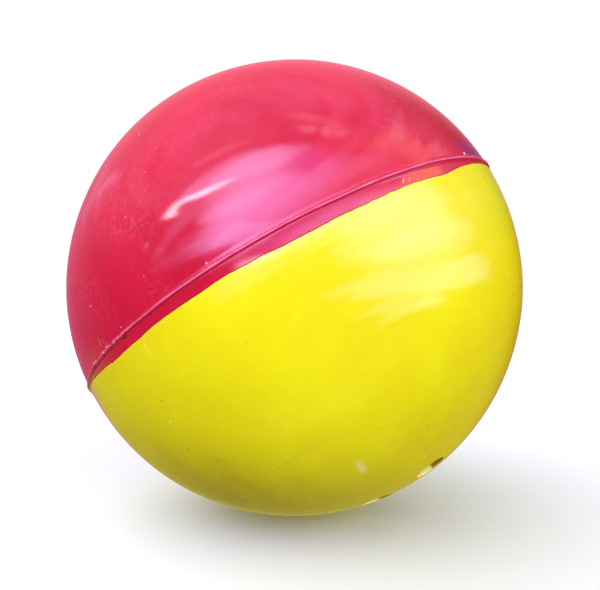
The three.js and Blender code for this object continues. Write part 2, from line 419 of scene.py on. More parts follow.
# ------------------------------------------------------------------ material tools
class Nodes:
    def __init__(self, name):
        self.mat = bpy.data.materials.new(name)
        self.mat.use_nodes = True
        self.nt = self.mat.node_tree
        self.nt.nodes.clear()
        self.out = self.add("ShaderNodeOutputMaterial")
        self.bsdf = self.add("ShaderNodeBsdfPrincipled")
        self.link(self.bsdf.outputs[0], self.out.inputs["Surface"])
        self.coord = self.add("ShaderNodeTexCoord").outputs["Object"]

    def add(self, kind, **props):
        n = self.nt.nodes.new(kind)
        for k, v in props.items():
            setattr(n, k, v)
        return n

    def link(self, a, b):
        self.nt.links.new(a, b)

    def put(self, socket, value):
        if isinstance(value, bpy.types.NodeSocket):
            self.link(value, socket)
        else:
            socket.default_value = value

    def math(self, op, a, b=0.0, c=0.0, clamp=False):
        n = self.add("ShaderNodeMath", operation=op, use_clamp=clamp)
        for s, v in zip(n.inputs, (a, b, c)):
            self.put(s, v)
        return n.outputs[0]

    def vec(self, op, a, b=(0, 0, 0), scale=1.0):
        n = self.add("ShaderNodeVectorMath", operation=op)
        self.put(n.inputs[0], a)
        self.put(n.inputs[1], b)
        if op == "SCALE":
            self.put(n.inputs["Scale"], scale)
        return n.outputs["Value"] if op in ("DOT_PRODUCT", "LENGTH", "DISTANCE") else n.outputs["Vector"]

    def noise(self, scale, detail=3.0, rough=0.5, at=None, distortion=0.0):
        n = self.add("ShaderNodeTexNoise")
        self.put(n.inputs["Vector"], at if at is not None else self.coord)
        n.inputs["Scale"].default_value = scale
        n.inputs["Detail"].default_value = detail
        n.inputs["Roughness"].default_value = rough
        n.inputs["Distortion"].default_value = distortion
        return n.outputs["Fac"]

    def cells(self, scale, at=None, feature="F1", output="Distance", randomness=1.0):
        n = self.add("ShaderNodeTexVoronoi", feature=feature)
        self.put(n.inputs["Vector"], at if at is not None else self.coord)
        n.inputs["Scale"].default_value = scale
        n.inputs["Randomness"].default_value = randomness
        return n.outputs[output]

    def ramp(self, x, lo, hi, a=0.0, b=1.0):
        n = self.add("ShaderNodeMapRange", interpolation_type="SMOOTHSTEP", clamp=True)
        self.put(n.inputs["Value"], x)
        n.inputs["From Min"].default_value = lo
        n.inputs["From Max"].default_value = hi
        n.inputs["To Min"].default_value = a
        n.inputs["To Max"].default_value = b
        return n.outputs["Result"]

    def mix(self, fac, a, b, blend="MIX"):
        n = self.add("ShaderNodeMix", data_type="RGBA", blend_type=blend)
        self.put(n.inputs[0], fac)
        self.put(n.inputs[6], a if isinstance(a, bpy.types.NodeSocket) else (*a, 1.0)[:4])
        self.put(n.inputs[7], b if isinstance(b, bpy.types.NodeSocket) else (*b, 1.0)[:4])
        return n.outputs[2]

    def xyz(self, v=None):
        n = self.add("ShaderNodeSeparateXYZ")
        self.put(n.inputs[0], v if v is not None else self.coord)
        return n.outputs

    def join(self, x, y, z):
        n = self.add("ShaderNodeCombineXYZ")
        for s, v in zip(n.inputs, (x, y, z)):
            self.put(s, v)
        return n.outputs[0]

    def bump(self, height, distance, strength=1.0, normal=None):
        n = self.add("ShaderNodeBump")
        n.inputs["Strength"].default_value = strength
        n.inputs["Distance"].default_value = distance
        self.put(n.inputs["Height"], height)
        if normal is not None:
            self.link(normal, n.inputs["Normal"])
        return n.outputs["Normal"]


def direction(px, py):
    """Direction from the ball's centre to the surface point at that place in the 600x590 frame."""
    d = RIGHT * ((px - BALL_AT[0]) / FOCAL) - UP * ((py - BALL_AT[1]) / FOCAL) - BACK
    d = d / np.linalg.norm(d)
    c = BACK * DIST
    b = d @ c
    disc = b * b - (DIST**2 - R**2)
    if disc < 0:
        p = c + d * (-b)
        return p / np.linalg.norm(p)
    p = c + d * (-b - math.sqrt(disc))
    return p / R


def rubber(name, deep, base, bright, dust, dark_specks, light_specks, scratch, seed):
    """Glossy moulded rubber: pigment clouds, fine speckle, dust, nicks, and scratches round the seam axis."""
    N_ = Nodes(name)
    P = N_.vec("ADD", N_.coord, (0.031 * seed, 0.017 * seed, -0.023 * seed))
    x, y, z = N_.xyz()
    turn = N_.math("ARCTAN2", x, N_.math("MULTIPLY", y, -1.0))
    # colour clouds at three sizes
    cloud = N_.noise(26, 4, 0.55, P, 0.6)
    fleck = N_.noise(420, 3, 0.6, P)
    grain = N_.noise(2600, 2, 0.6, P)
    col = N_.mix(N_.ramp(cloud, 0.30, 0.72), deep, base)
    col = N_.mix(N_.ramp(fleck, 0.52, 0.80, 0, 0.45), col, bright)
    col = N_.mix(N_.ramp(grain, 0.55, 0.85, 0, 0.22), col, deep)
    # fine scratches, nearly along the latitudes, broken up
    bent = N_.math("ADD", z, N_.math("MULTIPLY", N_.noise(9, 1, 0.5, P), 0.010))
    lines = N_.noise(1.0, 4, 0.62, N_.join(N_.math("MULTIPLY", turn, 2.3), N_.math("MULTIPLY", bent, 1500.0), 0.7 * seed))
    broken = N_.ramp(N_.noise(34, 3, 0.6, P), 0.52, 0.70)
    line = N_.math("MULTIPLY", N_.ramp(lines, 0.655, 0.76), broken)
    # short hairlines across them
    bent2 = N_.math("ADD", turn, N_.math("MULTIPLY", N_.noise(14, 1, 0.5, P), 0.30))
    hair = N_.noise(1.0, 3, 0.6, N_.join(N_.math("MULTIPLY", bent2, 110.0), N_.math("MULTIPLY", z, 60.0), 1.9 * seed))
    hair = N_.math("MULTIPLY", N_.ramp(hair, 0.70, 0.80), N_.ramp(N_.noise(48, 2, 0.6, P), 0.55, 0.72))
    # dust: tiny pale grains, thicker in patches
    patch = N_.ramp(N_.noise(20, 4, 0.6, P, 0.4), 0.50, 0.72)
    spot = N_.math("SUBTRACT", 1.0, N_.ramp(N_.cells(620, P), 0.08, 0.20))
    pick = N_.ramp(N_.noise(310, 1, 0.5, P), 0.60, 0.70)
    grains = N_.math("MULTIPLY", N_.math("MULTIPLY", spot, pick), patch)
    # rarer light and dark specks
    big = N_.math("SUBTRACT", 1.0, N_.ramp(N_.cells(150, P), 0.022, 0.046))
    chosen = N_.add("ShaderNodeTexVoronoi", feature="F1")
    N_.link(P, chosen.inputs["Vector"])
    chosen.inputs["Scale"].default_value = 150
    tone = N_.xyz(chosen.outputs["Color"])
    dark = N_.math("MULTIPLY", big, N_.ramp(tone[0], 0.86, 0.88))
    light = N_.math("MULTIPLY", big, N_.ramp(tone[1], 0.91, 0.93))
    film = N_.math("MULTIPLY", patch, N_.ramp(N_.noise(900, 2, 0.7, P), 0.45, 0.75, 0, 1.0))
    col = N_.mix(N_.math("MULTIPLY", film, 0.10), col, dust)
    col = N_.mix(N_.math("MULTIPLY", line, scratch), col, dust)
    col = N_.mix(N_.math("MULTIPLY", hair, scratch * 0.8), col, dust)
    col = N_.mix(N_.math("MULTIPLY", grains, 0.55), col, dust)
    col = N_.mix(N_.math("MULTIPLY", dark, N_.ramp(tone[2], 0.0, 1.0, 0.15, 0.70)), col, dark_specks)
    col = N_.mix(N_.math("MULTIPLY", light, N_.ramp(tone[2], 0.0, 1.0, 0.15, 0.60)), col, light_specks)
    worn = N_.math("ADD", N_.math("MULTIPLY", line, 0.5), N_.math("ADD", N_.math("MULTIPLY", grains, 0.5), N_.math("MULTIPLY", hair, 0.4)), clamp=True)
    rough = N_.math("ADD", N_.ramp(cloud, 0.3, 0.7, 0.085, 0.115), N_.math("MULTIPLY", film, 0.10))
    rough = N_.math("ADD", rough, N_.math("MULTIPLY", worn, 0.28), clamp=True)
    height = N_.math("ADD", N_.math("MULTIPLY", fleck, 0.25), N_.math("MULTIPLY", grain, 0.05))
    height = N_.math("SUBTRACT", height, N_.math("MULTIPLY", line, 0.5))
    height = N_.math("SUBTRACT", height, N_.math("MULTIPLY", hair, 0.4))
    height = N_.math("ADD", height, N_.math("MULTIPLY", grains, 0.6))
    height = N_.math("ADD", height, N_.math("SUBTRACT", N_.math("MULTIPLY", light, 0.8), N_.math("MULTIPLY", dark, 0.9)))
    return N_, P, (x, y, z, turn), col, rough, height


def finish_rubber(N_, col, rough, height):
    N_.link(col, N_.bsdf.inputs["Base Color"])
    N_.link(rough, N_.bsdf.inputs["Roughness"])
    N_.bsdf.inputs["IOR"].default_value = 1.5
    N_.link(N_.bump(height, 0.00004, 0.55), N_.bsdf.inputs["Normal"])


def blot(N_, P, centre, along, size_a, size_b, edge=0.5, ragged=0.35, scale=220.0):
    """A ragged elliptical mark on the ball at a direction, 1 inside and 0 outside. Sizes in mm."""
    c = np.asarray(centre, float)
    a = np.asarray(along, float)
    a = a - c * (a @ c)
    a /= np.linalg.norm(a)
    b = np.cross(c, a)
    p = N_.coord
    qa = N_.math("DIVIDE", N_.vec("DOT_PRODUCT", p, tuple(a)), size_a * MM)
    qb = N_.math("DIVIDE", N_.vec("DOT_PRODUCT", p, tuple(b)), size_b * MM)
    d = N_.math("SQRT", N_.math("ADD", N_.math("MULTIPLY", qa, qa), N_.math("MULTIPLY", qb, qb)))
    d = N_.math("ADD", d, N_.math("MULTIPLY", N_.math("SUBTRACT", N_.noise(scale, 3, 0.6, P), 0.5), 2 * ragged))
    inside = N_.ramp(d, 1.0 - edge, 1.0, 1.0, 0.0)
    near = 0.8 if size_a < 10 else 0.3
    front = N_.ramp(N_.vec("DOT_PRODUCT", p, tuple(c)), near * R * MM, (near + 0.06) * R * MM)
    # dot products of a far point can be small on the other side of the ball too
    return N_.math("MULTIPLY", inside, front)


def at(px, py):
    return direction(px, py)


def toward(p0, p1):
    return direction(*p1) - direction(*p0)


# red half
Nr, Pr, (xr, yr, zr, tr), col, rough, height = rubber(
    "red_rubber_gloss",
    deep=(0.520, 0.0050, 0.036),
    base=(0.640, 0.0075, 0.052),
    bright=(0.720, 0.014, 0.068),
    dust=(0.86, 0.46, 0.50),
    dark_specks=(0.16, 0.004, 0.015),
    light_specks=(0.95, 0.78, 0.66),
    scratch=0.16,
    seed=1,
)
# the flash line's crest is painted paler as a highlight, and made a little rougher; its foot is painted dark as the
# shade under it
zmm = Nr.math("DIVIDE", zr, MM)
radius = Nr.math("DIVIDE", Nr.vec("LENGTH", Nr.coord), MM)
crest_highlight = Nr.math("MULTIPLY", Nr.ramp(radius, R + 0.16, R + 0.36), Nr.ramp(Nr.noise(260, 3, 0.6, Pr), 0.30, 0.62, 0.45, 1.0))
# painted shade in the hollows at the foot of the flash line
foot = Nr.ramp(Nr.math("SUBTRACT", R + 0.0, radius), 0.035, 0.10)
near = Nr.math("MULTIPLY", Nr.ramp(Nr.math("ABSOLUTE", zmm), 0.9, 1.6, 1.0, 0.0), foot)
col = Nr.mix(Nr.math("MULTIPLY", crest_highlight, 0.80), col, (0.88, 0.19, 0.42))
col = Nr.mix(Nr.math("MULTIPLY", near, 0.55), col, (0.20, 0.003, 0.016))
rough = Nr.math("ADD", rough, Nr.math("MULTIPLY", crest_highlight, 0.16), clamp=True)
# a pale speck by the colour edge and a pink fleck
speck = blot(Nr, Pr, at(464.4, 153.6), toward((464.4, 153.6), (464.4, 150)), 0.62, 0.42, 0.35, 0.2, 900)
col = Nr.mix(speck, col, (0.93, 0.83, 0.55))
fleck2 = blot(Nr, Pr, at(206.5, 263.0), toward((206.5, 263.0), (207.5, 260)), 0.26, 0.17, 0.4, 0.2, 900)
col = Nr.mix(Nr.math("MULTIPLY", fleck2, 0.8), col, (0.95, 0.62, 0.75))
# painted reflection: a dark purple tinge on the red by the mould line at the right
purple_painted_reflection = blot(Nr, Pr, at(470, 150), toward((455, 147), (482, 158)), 9.0, 3.4, 0.9, 0.30, 160)
col = Nr.mix(Nr.math("MULTIPLY", purple_painted_reflection, 0.55), col, (0.24, 0.004, 0.26))
for (ax, ay), (bx, by), sa, sb, amount in (
    ((75.2, 280.0), (76.0, 280.5), 0.24, 0.2, 0.9),
    ((91.0, 306.0), (92.0, 306.5), 0.22, 0.2, 0.7),
    ((144.0, 276.0), (146.0, 275.0), 0.30, 0.11, 0.35),
    ((121.0, 327.0), (121.6, 325.0), 0.2, 0.14, 0.7),
    ((139.0, 134.0), (139.5, 129.0), 1.15, 0.09, 0.5),
    ((106.0, 166.5), (106.5, 161.0), 1.3, 0.09, 0.45),
    ((100.0, 343.0), (98.0, 338.5), 1.1, 0.10, 0.40),
    ((103.0, 341.0), (101.5, 337.0), 0.8, 0.08, 0.35),
    ((106.0, 345.0), (107.5, 339.0), 1.0, 0.08, 0.30),
    ((403.5, 180.5), (404.0, 177.0), 0.75, 0.14, 0.55),
    ((409.5, 179.5), (410.0, 176.0), 0.70, 0.12, 0.45),
    ((418.0, 177.5), (418.6, 174.0), 0.60, 0.10, 0.35),
):
    mark = blot(Nr, Pr, at(ax, ay), toward((ax, ay), (bx, by)), sa, sb, 0.5, 0.2, 1000)
    col = Nr.mix(Nr.math("MULTIPLY", mark, amount), col, (0.95, 0.66, 0.72))
finish_rubber(Nr, col, rough, height)
red.data.materials.append(Nr.mat)

# yellow half
Ny, Py, (xy, yy, zy, ty), col, rough, height = rubber(
    "yellow_rubber_gloss",
    deep=(0.800, 0.680, 0.0050),
    base=(0.880, 0.800, 0.0060),
    bright=(0.915, 0.850, 0.012),
    dust=(0.90, 0.86, 0.52),
    dark_specks=(0.30, 0.24, 0.03),
    light_specks=(0.97, 0.95, 0.55),
    scratch=0.14,
    seed=2,
)
# handling grime gathers towards the pole with the holes, in faint rings and blotches; it is partly painted shade,
# darkening the lower side of the ball
pole_d = Ny.math("DIVIDE", Ny.math("ADD", zy, R * MM), 2 * R * MM)
grime_and_shade = Ny.math("MULTIPLY", Ny.ramp(pole_d, 0.02, 0.30, 1.0, 0.0), Ny.ramp(Ny.noise(38, 5, 0.62, Py, 0.8), 0.42, 0.78))
col = Ny.mix(Ny.math("MULTIPLY", grime_and_shade, 0.30), col, (0.52, 0.37, 0.035))
ringed = Ny.math("MULTIPLY", Ny.ramp(Ny.noise(1.0, 3, 0.6, Ny.join(Ny.math("MULTIPLY", ty, 1.4), Ny.math("MULTIPLY", zy, 620.0), 4.2)), 0.60, 0.74), Ny.ramp(pole_d, 0.05, 0.42, 1.0, 0.0))
col = Ny.mix(Ny.math("MULTIPLY", ringed, 0.22), col, (0.50, 0.40, 0.05))
# painted shade low on the yellow, on the side the ball rests on: a darker, browner, mottled zone
painted_shade_low = blot(Ny, Py, at(252, 506), RIGHT, 38.0, 25.0, 0.95, 0.25, 60)
painted_shade_low_mottled = Ny.math("MULTIPLY", painted_shade_low, Ny.ramp(Ny.noise(55, 5, 0.62, Py, 0.6), 0.25, 0.75, 0.55, 1.0))
col = Ny.mix(Ny.math("MULTIPLY", painted_shade_low_mottled, 1.0), col, (0.40, 0.290, 0.010))
# painted shade: a warmer, darker golden band towards the lower right
golden_painted_shade = blot(Ny, Py, at(452, 452), RIGHT + UP, 30.0, 12.0, 0.95, 0.35, 90)
col = Ny.mix(Ny.math("MULTIPLY", golden_painted_shade, 0.20), col, (0.86, 0.56, 0.03))
# the cut walls of the holes: painted light on one side, pale; painted shade on the other, dark amber
# the fixed direction that splits each hole's wall into its painted lit side and painted shaded side
along = np.cross(BACK, direction(430, 467))
along /= np.linalg.norm(along)
if along @ RIGHT < 0:
    along = -along
ry = Ny.math("DIVIDE", Ny.vec("LENGTH", Ny.coord), MM)
cut = Ny.ramp(ry, R - 0.10, R - 0.03, 1.0, 0.0)
outer_side = Ny.ramp(ry, RI + 0.05, RI + 0.25)
for k in range(4):
    ax = hole_axis(k)
    from_axis = Ny.math("DIVIDE", Ny.vec("LENGTH", Ny.vec("CROSS_PRODUCT", Ny.coord, tuple(ax))), MM)
    inside = Ny.math("MULTIPLY", Ny.ramp(from_axis, HOLE_R + 0.12, HOLE_R + 0.2, 1.0, 0.0), Ny.math("MULTIPLY", cut, outer_side))
    inside = Ny.math("MULTIPLY", inside, Ny.ramp(zy, -0.02, -0.03))
    side = Ny.math("SUBTRACT", Ny.math("DIVIDE", Ny.vec("DOT_PRODUCT", Ny.coord, tuple(along)), MM), float(ax @ along) * R)
    side = Ny.ramp(Ny.math("ADD", side, Ny.math("MULTIPLY", Ny.math("SUBTRACT", Ny.noise(500, 2, 0.6, Py), 0.5), 0.8)), 0.1, 0.6)
    hole_wall_light_and_shade = Ny.mix(side, (1.0, 0.97, 0.40), (0.36, 0.18, 0.008))
    col = Ny.mix(Ny.math("MULTIPLY", inside, 0.9), col, hole_wall_light_and_shade)
# worn whitish scuff
scuff = blot(Ny, Py, at(361, 467.5), toward((354, 457), (368, 479)), 3.6, 1.15, 0.75, 0.42, 330)
col = Ny.mix(Ny.math("MULTIPLY", scuff, 0.50), col, (0.88, 0.84, 0.42))
rough = Ny.math("ADD", rough, Ny.math("MULTIPLY", scuff, 0.30), clamp=True)
# dark nick near the mould line and a few specks
for (ax, ay), (bx, by), sa, sb, amount in (
    ((483.5, 176.5), (485.5, 172.5), 0.62, 0.13, 0.75),
    ((161.5, 401.0), (162.5, 402.0), 0.28, 0.2, 0.7),
    ((188.5, 449.5), (190.5, 451.0), 0.35, 0.2, 0.7),
    ((168.0, 430.3), (169.0, 431.0), 0.25, 0.2, 0.55),
    ((217.5, 460.5), (219.0, 461.0), 0.28, 0.2, 0.7),
    ((243.5, 464.0), (244.5, 465.5), 0.3, 0.2, 0.55),
    ((222.5, 476.0), (224.5, 477.0), 0.32, 0.18, 0.55),
    ((248.0, 344.0), (250.0, 348.5), 0.62, 0.09, 0.35),
    ((483.3, 203.0), (484.0, 204.0), 0.2, 0.17, 0.5),
    ((461.0, 196.5), (463.0, 195.5), 0.3, 0.12, 0.3),
    ((427.8, 426.5), (430.0, 422.5), 0.55, 0.25, 0.35),
    ((124.0, 396.0), (125.0, 396.5), 0.26, 0.18, 0.5),
    ((381.0, 427.5), (385.0, 427.2), 0.5, 0.16, 0.3),
    ((407.0, 445.5), (424.0, 435.0), 4.6, 0.10, 0.20),
    ((443.0, 420.5), (462.0, 406.0), 5.6, 0.11, 0.16),
    ((388.0, 475.5), (401.0, 468.0), 3.6, 0.10, 0.18),
    ((513.0, 295.5), (518.0, 292.5), 1.9, 0.13, 0.45),
    ((520.0, 287.0), (521.4, 282.0), 1.7, 0.13, 0.40),
):
    mark = blot(Ny, Py, at(ax, ay), toward((ax, ay), (bx, by)), sa, sb, 0.45, 0.25, 1100)
    col = Ny.mix(Ny.math("MULTIPLY", mark, amount), col, (0.20, 0.15, 0.02))
    height = Ny.math("SUBTRACT", height, Ny.math("MULTIPLY", mark, 0.8))
for (ax, ay), (bx, by), sa, sb in (((146.0, 347.0), (149.5, 355.0), 1.7, 0.16), ((149.6, 355.0), (150.2, 362.0), 1.3, 0.13)):
    mark = blot(Ny, Py, at(ax, ay), toward((ax, ay), (bx, by)), sa, sb, 0.6, 0.2, 700)
    col = Ny.mix(Ny.math("MULTIPLY", mark, 0.32), col, (0.96, 0.93, 0.45))
for ax, ay in ((148.8, 415.6), (170.5, 421.6), (241.5, 496.8)):
    mark = blot(Ny, Py, at(ax, ay), toward((ax, ay), (ax + 1, ay)), 0.22, 0.2, 0.4, 0.15, 1100)
    col = Ny.mix(Ny.math("MULTIPLY", mark, 0.9), col, (0.97, 0.95, 0.60))
# painted highlight along the yellow's raised lip at the colour edge
lip = Ny.math("MULTIPLY", Ny.ramp(ry, R + 0.05, R + 0.11), Ny.ramp(Ny.noise(300, 3, 0.6, Py), 0.3, 0.6, 0.4, 1.0))
lip = Ny.math("MULTIPLY", lip, Ny.ramp(zy, -0.006, -0.005))
col = Ny.mix(Ny.math("MULTIPLY", lip, 0.15), col, (0.95, 0.90, 0.25))
finish_rubber(Ny, col, rough, height)
yellow.data.materials.append(Ny.mat)

for obj, node, slot in ((red, "red_half_shell", "red_rubber"), (yellow, "yellow_half_shell", "yellow_rubber")):
    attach(obj, "ball")
    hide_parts(node)

# ------------------------------------------------------------------ the bell inside
BELL_Z = -36.8
PELLET_Z = BELL_Z - 7.9
RIM = [
    (11.95, 1.10), (12.02, 0.95), (12.12, 0.86), (12.30, 0.80), (12.60, 0.77), (12.90, 0.75), (13.07, 0.70),
    (13.17, 0.59), (13.20, 0.45), (13.17, 0.31), (13.07, 0.20), (12.90, 0.15), (12.40, 0.15), (11.90, 0.15),
    (11.56, 0.17), (11.43, 0.26),
]


def apply_modifiers(obj):
    bpy.context.view_layer.update()
    done = bpy.data.meshes.new_from_object(obj.evaluated_get(bpy.context.evaluated_depsgraph_get()))
    obj.modifiers.clear()
    old = obj.data
    obj.data = done
    bpy.data.meshes.remove(old)
    return obj


def cup(name, side, cutters):
    """A pressed bell cup: dome, small fillet, crimped rim; side 1 is the upper cup."""
    n = 168
    t = np.arange(n) * 2 * np.pi / n
    profile = [(12.0 * math.cos(a), 12.0 * math.sin(a)) for a in np.radians(np.linspace(87.5, 5.8, 26))]
    profile += RIM
    profile += [(11.4 * math.cos(a), 11.4 * math.sin(a)) for a in np.radians(np.linspace(2.4, 87.5, 22))]
    rows = []
    for r, z in profile:
        rim = smooth((r - 12.3) / 0.5)
        crimp = rim * 0.05 * np.cos(44 * t) + 0.015 * np.cos(3 * t + side) * (1 - rim)
        flat = rim * 0.03 * np.cos(44 * t + 0.8)
        rows.append(np.stack([(r + crimp) * np.cos(t), (r + crimp) * np.sin(t), side * (z + flat) + BELL_Z], -1))
    co = np.vstack(rows + [[[0, 0, side * 12.0 + BELL_Z]], [[0, 0, side * 11.4 + BELL_Z]]])
    faces = band(len(rows), 0, n)
    top, low, last = len(co) - 2, len(co) - 1, (len(rows) - 1) * n
    for j in range(n):
        k = (j + 1) % n
        faces.append((top, k, j))
        faces.append((low, last + j, last + k))
    obj = mesh_object(name, co, faces)
    bm = bmesh.new()
    bm.from_mesh(obj.data)
    bmesh.ops.recalc_face_normals(bm, faces=bm.faces)
    bm.to_mesh(obj.data)
    bm.free()
    for i, cutter in enumerate(cutters):
        b = obj.modifiers.new("cut%d" % i, "BOOLEAN")
        b.operation, b.solver, b.object = "DIFFERENCE", "EXACT", cutter
    bevel = obj.modifiers.new("edge", "BEVEL")
    bevel.width, bevel.segments, bevel.limit_method, bevel.angle_limit = 0.00008, 2, "ANGLE", math.radians(50)
    apply_modifiers(obj)
    for cutter in cutters:
        bpy.data.objects.remove(cutter)
    obj.data.polygons.foreach_set("use_smooth", [True] * len(obj.data.polygons))
    return obj


def stamped(outline, lo, hi):
    """A cutter: a flat outline in mm drawn from height lo to hi."""
    n = len(outline)
    co = [(x, y, lo) for x, y in outline] + [(x, y, hi) for x, y in outline]
    faces = [tuple(range(n))[::-1], tuple(range(n, 2 * n))]
    faces += [(i, (i + 1) % n, n + (i + 1) % n, n + i) for i in range(n)]
    return mesh_object("cutter", np.array(co), faces)


def slot_outline(turn):
    """A slot with round, wider ends."""
    pts = []
    neck = math.asin(0.9 / 1.7)
    for end in (1, -1):
        for a in np.linspace(-math.pi + neck, math.pi - neck, 25):
            x = end * (8.2 + 1.7 * math.cos(a))
            y = end * 1.7 * math.sin(a)
            pts.append((x * math.cos(turn) - y * math.sin(turn), x * math.sin(turn) + y * math.cos(turn)))
    return pts


def disc(x, y, r, n=40):
    return [(x + r * math.cos(a), y + r * math.sin(a)) for a in np.arange(n) * 2 * math.pi / n]


upper = cup("bell_cup_upper", 1, [stamped(disc(x, 0, 0.95), BELL_Z + 8, BELL_Z + 14) for x in (-2.2, 2.2)])
lower = cup("bell_cup_lower", -1, [stamped(slot_outline(math.radians(a)), BELL_Z - 15, BELL_Z - 3) for a in (45, 135)])


def wire_loop():
    foot, top, w = 9.6, 15.4, 2.2
    pts = [(-w - 2.4, foot - 0.9), (-w - 0.9, foot - 0.1), (-w, foot + 1.2), (-w, foot + 3.2), (-w, top), (-w * 0.72, top + w * 0.72)]
    pts = np.array(pts + [(0, top + w)] + [(-x, z) for x, z in pts[::-1]])
    ext = np.vstack([2 * pts[0] - pts[1], pts, 2 * pts[-1] - pts[-2]])
    path = []
    for i in range(1, len(ext) - 2):
        p0, p1, p2, p3 = ext[i - 1 : i + 3]
        for u in np.arange(0, 1, 1 / 14):
            path.append(0.5 * (2 * p1 + (p2 - p0) * u + (2 * p0 - 5 * p1 + 4 * p2 - p3) * u * u + (3 * p1 - p0 - 3 * p2 + p3) * u**3))
    path = np.array(path + [ext[-2]])
    tangent = np.gradient(path, axis=0)
    tangent /= np.linalg.norm(tangent, axis=1, keepdims=True)
    n = 28
    a = np.arange(n) * 2 * np.pi / n
    stations = []
    for back, size in ((0.0, 0.25), (0.06, 0.62), (0.16, 0.85), (0.3, 0.97)):
        stations.append((path[0] + tangent[0] * back, tangent[0], 0.6 * size))
    for i in range(1, len(path) - 1):
        if 3 < i < len(path) - 4:
            stations.append((path[i], tangent[i], 0.6 - 0.010 * (1 + math.sin(i * 2.3))))
    for back, size in ((0.3, 0.97), (0.16, 0.85), (0.06, 0.62), (0.0, 0.25)):
        stations.append((path[-1] - tangent[-1] * back, tangent[-1], 0.6 * size))
    rows = []
    for (x, z), (tx, tz), r in stations:
        c, s_ = np.cos(a) * r, np.sin(a) * r
        rows.append(np.stack([x - tz * c, s_, z + tx * c + BELL_Z], -1))
    co = np.vstack(rows)
    faces = band(len(rows), 0, n) + [tuple(range(n))[::-1], tuple(range(len(co) - n, len(co)))]
    obj = mesh_object("bell_wire_loop", co, faces)
    bm = bmesh.new()
    bm.from_mesh(obj.data)
    bmesh.ops.recalc_face_normals(bm, faces=bm.faces)
    bm.to_mesh(obj.data)
    bm.free()
    return obj


def steel_pellet():
    """A cast steel shot: nearly round, with a faint belt and small dents."""
    n, m_ = 96, 64
    t = np.arange(n) * 2 * np.pi / n
    rng = np.random.RandomState(5)
    dents = rng.normal(size=(46, 3))
    dents /= np.linalg.norm(dents, axis=1, keepdims=True)
    width = rng.uniform(0.05, 0.17, 46)
    deep = rng.uniform(0.01, 0.05, 46)

    def placed(d):
        r = 3.0 - 0.012 - 0.02 * np.exp(-((d[..., 2] / 0.07) ** 2))
        for c, w_, h in zip(dents, width, deep):
            r = r - h * np.exp(-((np.arccos(np.clip(d @ c, -1, 1)) / w_) ** 2))
        return d * r[..., None] + [0, 0, PELLET_Z]

    rows = []
    for lat in np.radians(np.linspace(88, -88, m_)):
        d = np.stack([np.cos(lat) * np.cos(t), np.cos(lat) * np.sin(t), np.full(n, math.sin(lat))], -1)
        rows.append(placed(d))
    co = np.vstack(rows + [placed(np.array([[0, 0, 1.0]])), placed(np.array([[0, 0, -1.0]]))])
    faces = band(len(rows), 0, n)
    top, low, last = len(co) - 2, len(co) - 1, (len(rows) - 1) * n
    for j in range(n):
        k = (j + 1) % n
        faces.append((top, k, j))
        faces.append((low, last + j, last + k))
    obj = mesh_object("bell_shot", co, faces)
    bm = bmesh.new()
    bm.from_mesh(obj.data)
    bmesh.ops.recalc_face_normals(bm, faces=bm.faces)
    bm.to_mesh(obj.data)
    bm.free()
    return obj


def metal(name, base, dull, tarnish, rough_lo, rough_hi, seed, lathe):
    """Plated or polished metal: handling haze, fine scratches, pits, a little tarnish in the hollows."""
    M = Nodes(name)
    P = M.vec("ADD", M.coord, (0.013 * seed, -0.007 * seed, 0.021 * seed))
    haze = M.noise(220, 4, 0.6, P, 0.5)
    fine = M.noise(2400, 3, 0.6, P)
    x, y, z = M.xyz()
    turn = M.math("ARCTAN2", y, x)
    drawn = M.noise(1.0, 4, 0.65, M.join(M.math("MULTIPLY", turn, 1.6), M.math("MULTIPLY", z, lathe), 0.4 * seed))
    cross = M.noise(1.0, 3, 0.6, M.join(M.math("MULTIPLY", turn, 60.0), M.math("MULTIPLY", z, 700.0), 1.1 * seed))
    scratch = M.math("MULTIPLY", M.ramp(cross, 0.66, 0.78), M.ramp(M.noise(300, 2, 0.6, P), 0.5, 0.7))
    pits = M.math("SUBTRACT", 1.0, M.ramp(M.cells(900, P), 0.05, 0.12))
    pits = M.math("MULTIPLY", pits, M.ramp(M.noise(260, 2, 0.6, P), 0.60, 0.72))
    col = M.mix(M.ramp(haze, 0.35, 0.70), base, dull)
    col = M.mix(M.math("MULTIPLY", M.ramp(M.noise(130, 5, 0.65, P, 1.0), 0.55, 0.80), 0.5), col, tarnish)
    col = M.mix(M.math("MULTIPLY", pits, 0.7), col, (0.10, 0.075, 0.05))
    rough = M.math("ADD", M.ramp(haze, 0.3, 0.75, rough_lo, rough_hi), M.math("MULTIPLY", scratch, 0.25))
    rough = M.math("ADD", rough, M.math("MULTIPLY", pits, 0.35), clamp=True)
    height = M.math("ADD", M.math("MULTIPLY", drawn, 0.5), M.math("MULTIPLY", fine, 0.3))
    height = M.math("SUBTRACT", height, M.math("ADD", M.math("MULTIPLY", scratch, 0.8), M.math("MULTIPLY", pits, 1.2)))
    M.link(col, M.bsdf.inputs["Base Color"])
    M.link(rough, M.bsdf.inputs["Roughness"])
    M.bsdf.inputs["Metallic"].default_value = 1.0
    M.link(M.bump(height, 0.00002, 0.5), M.bsdf.inputs["Normal"])
    return M.mat


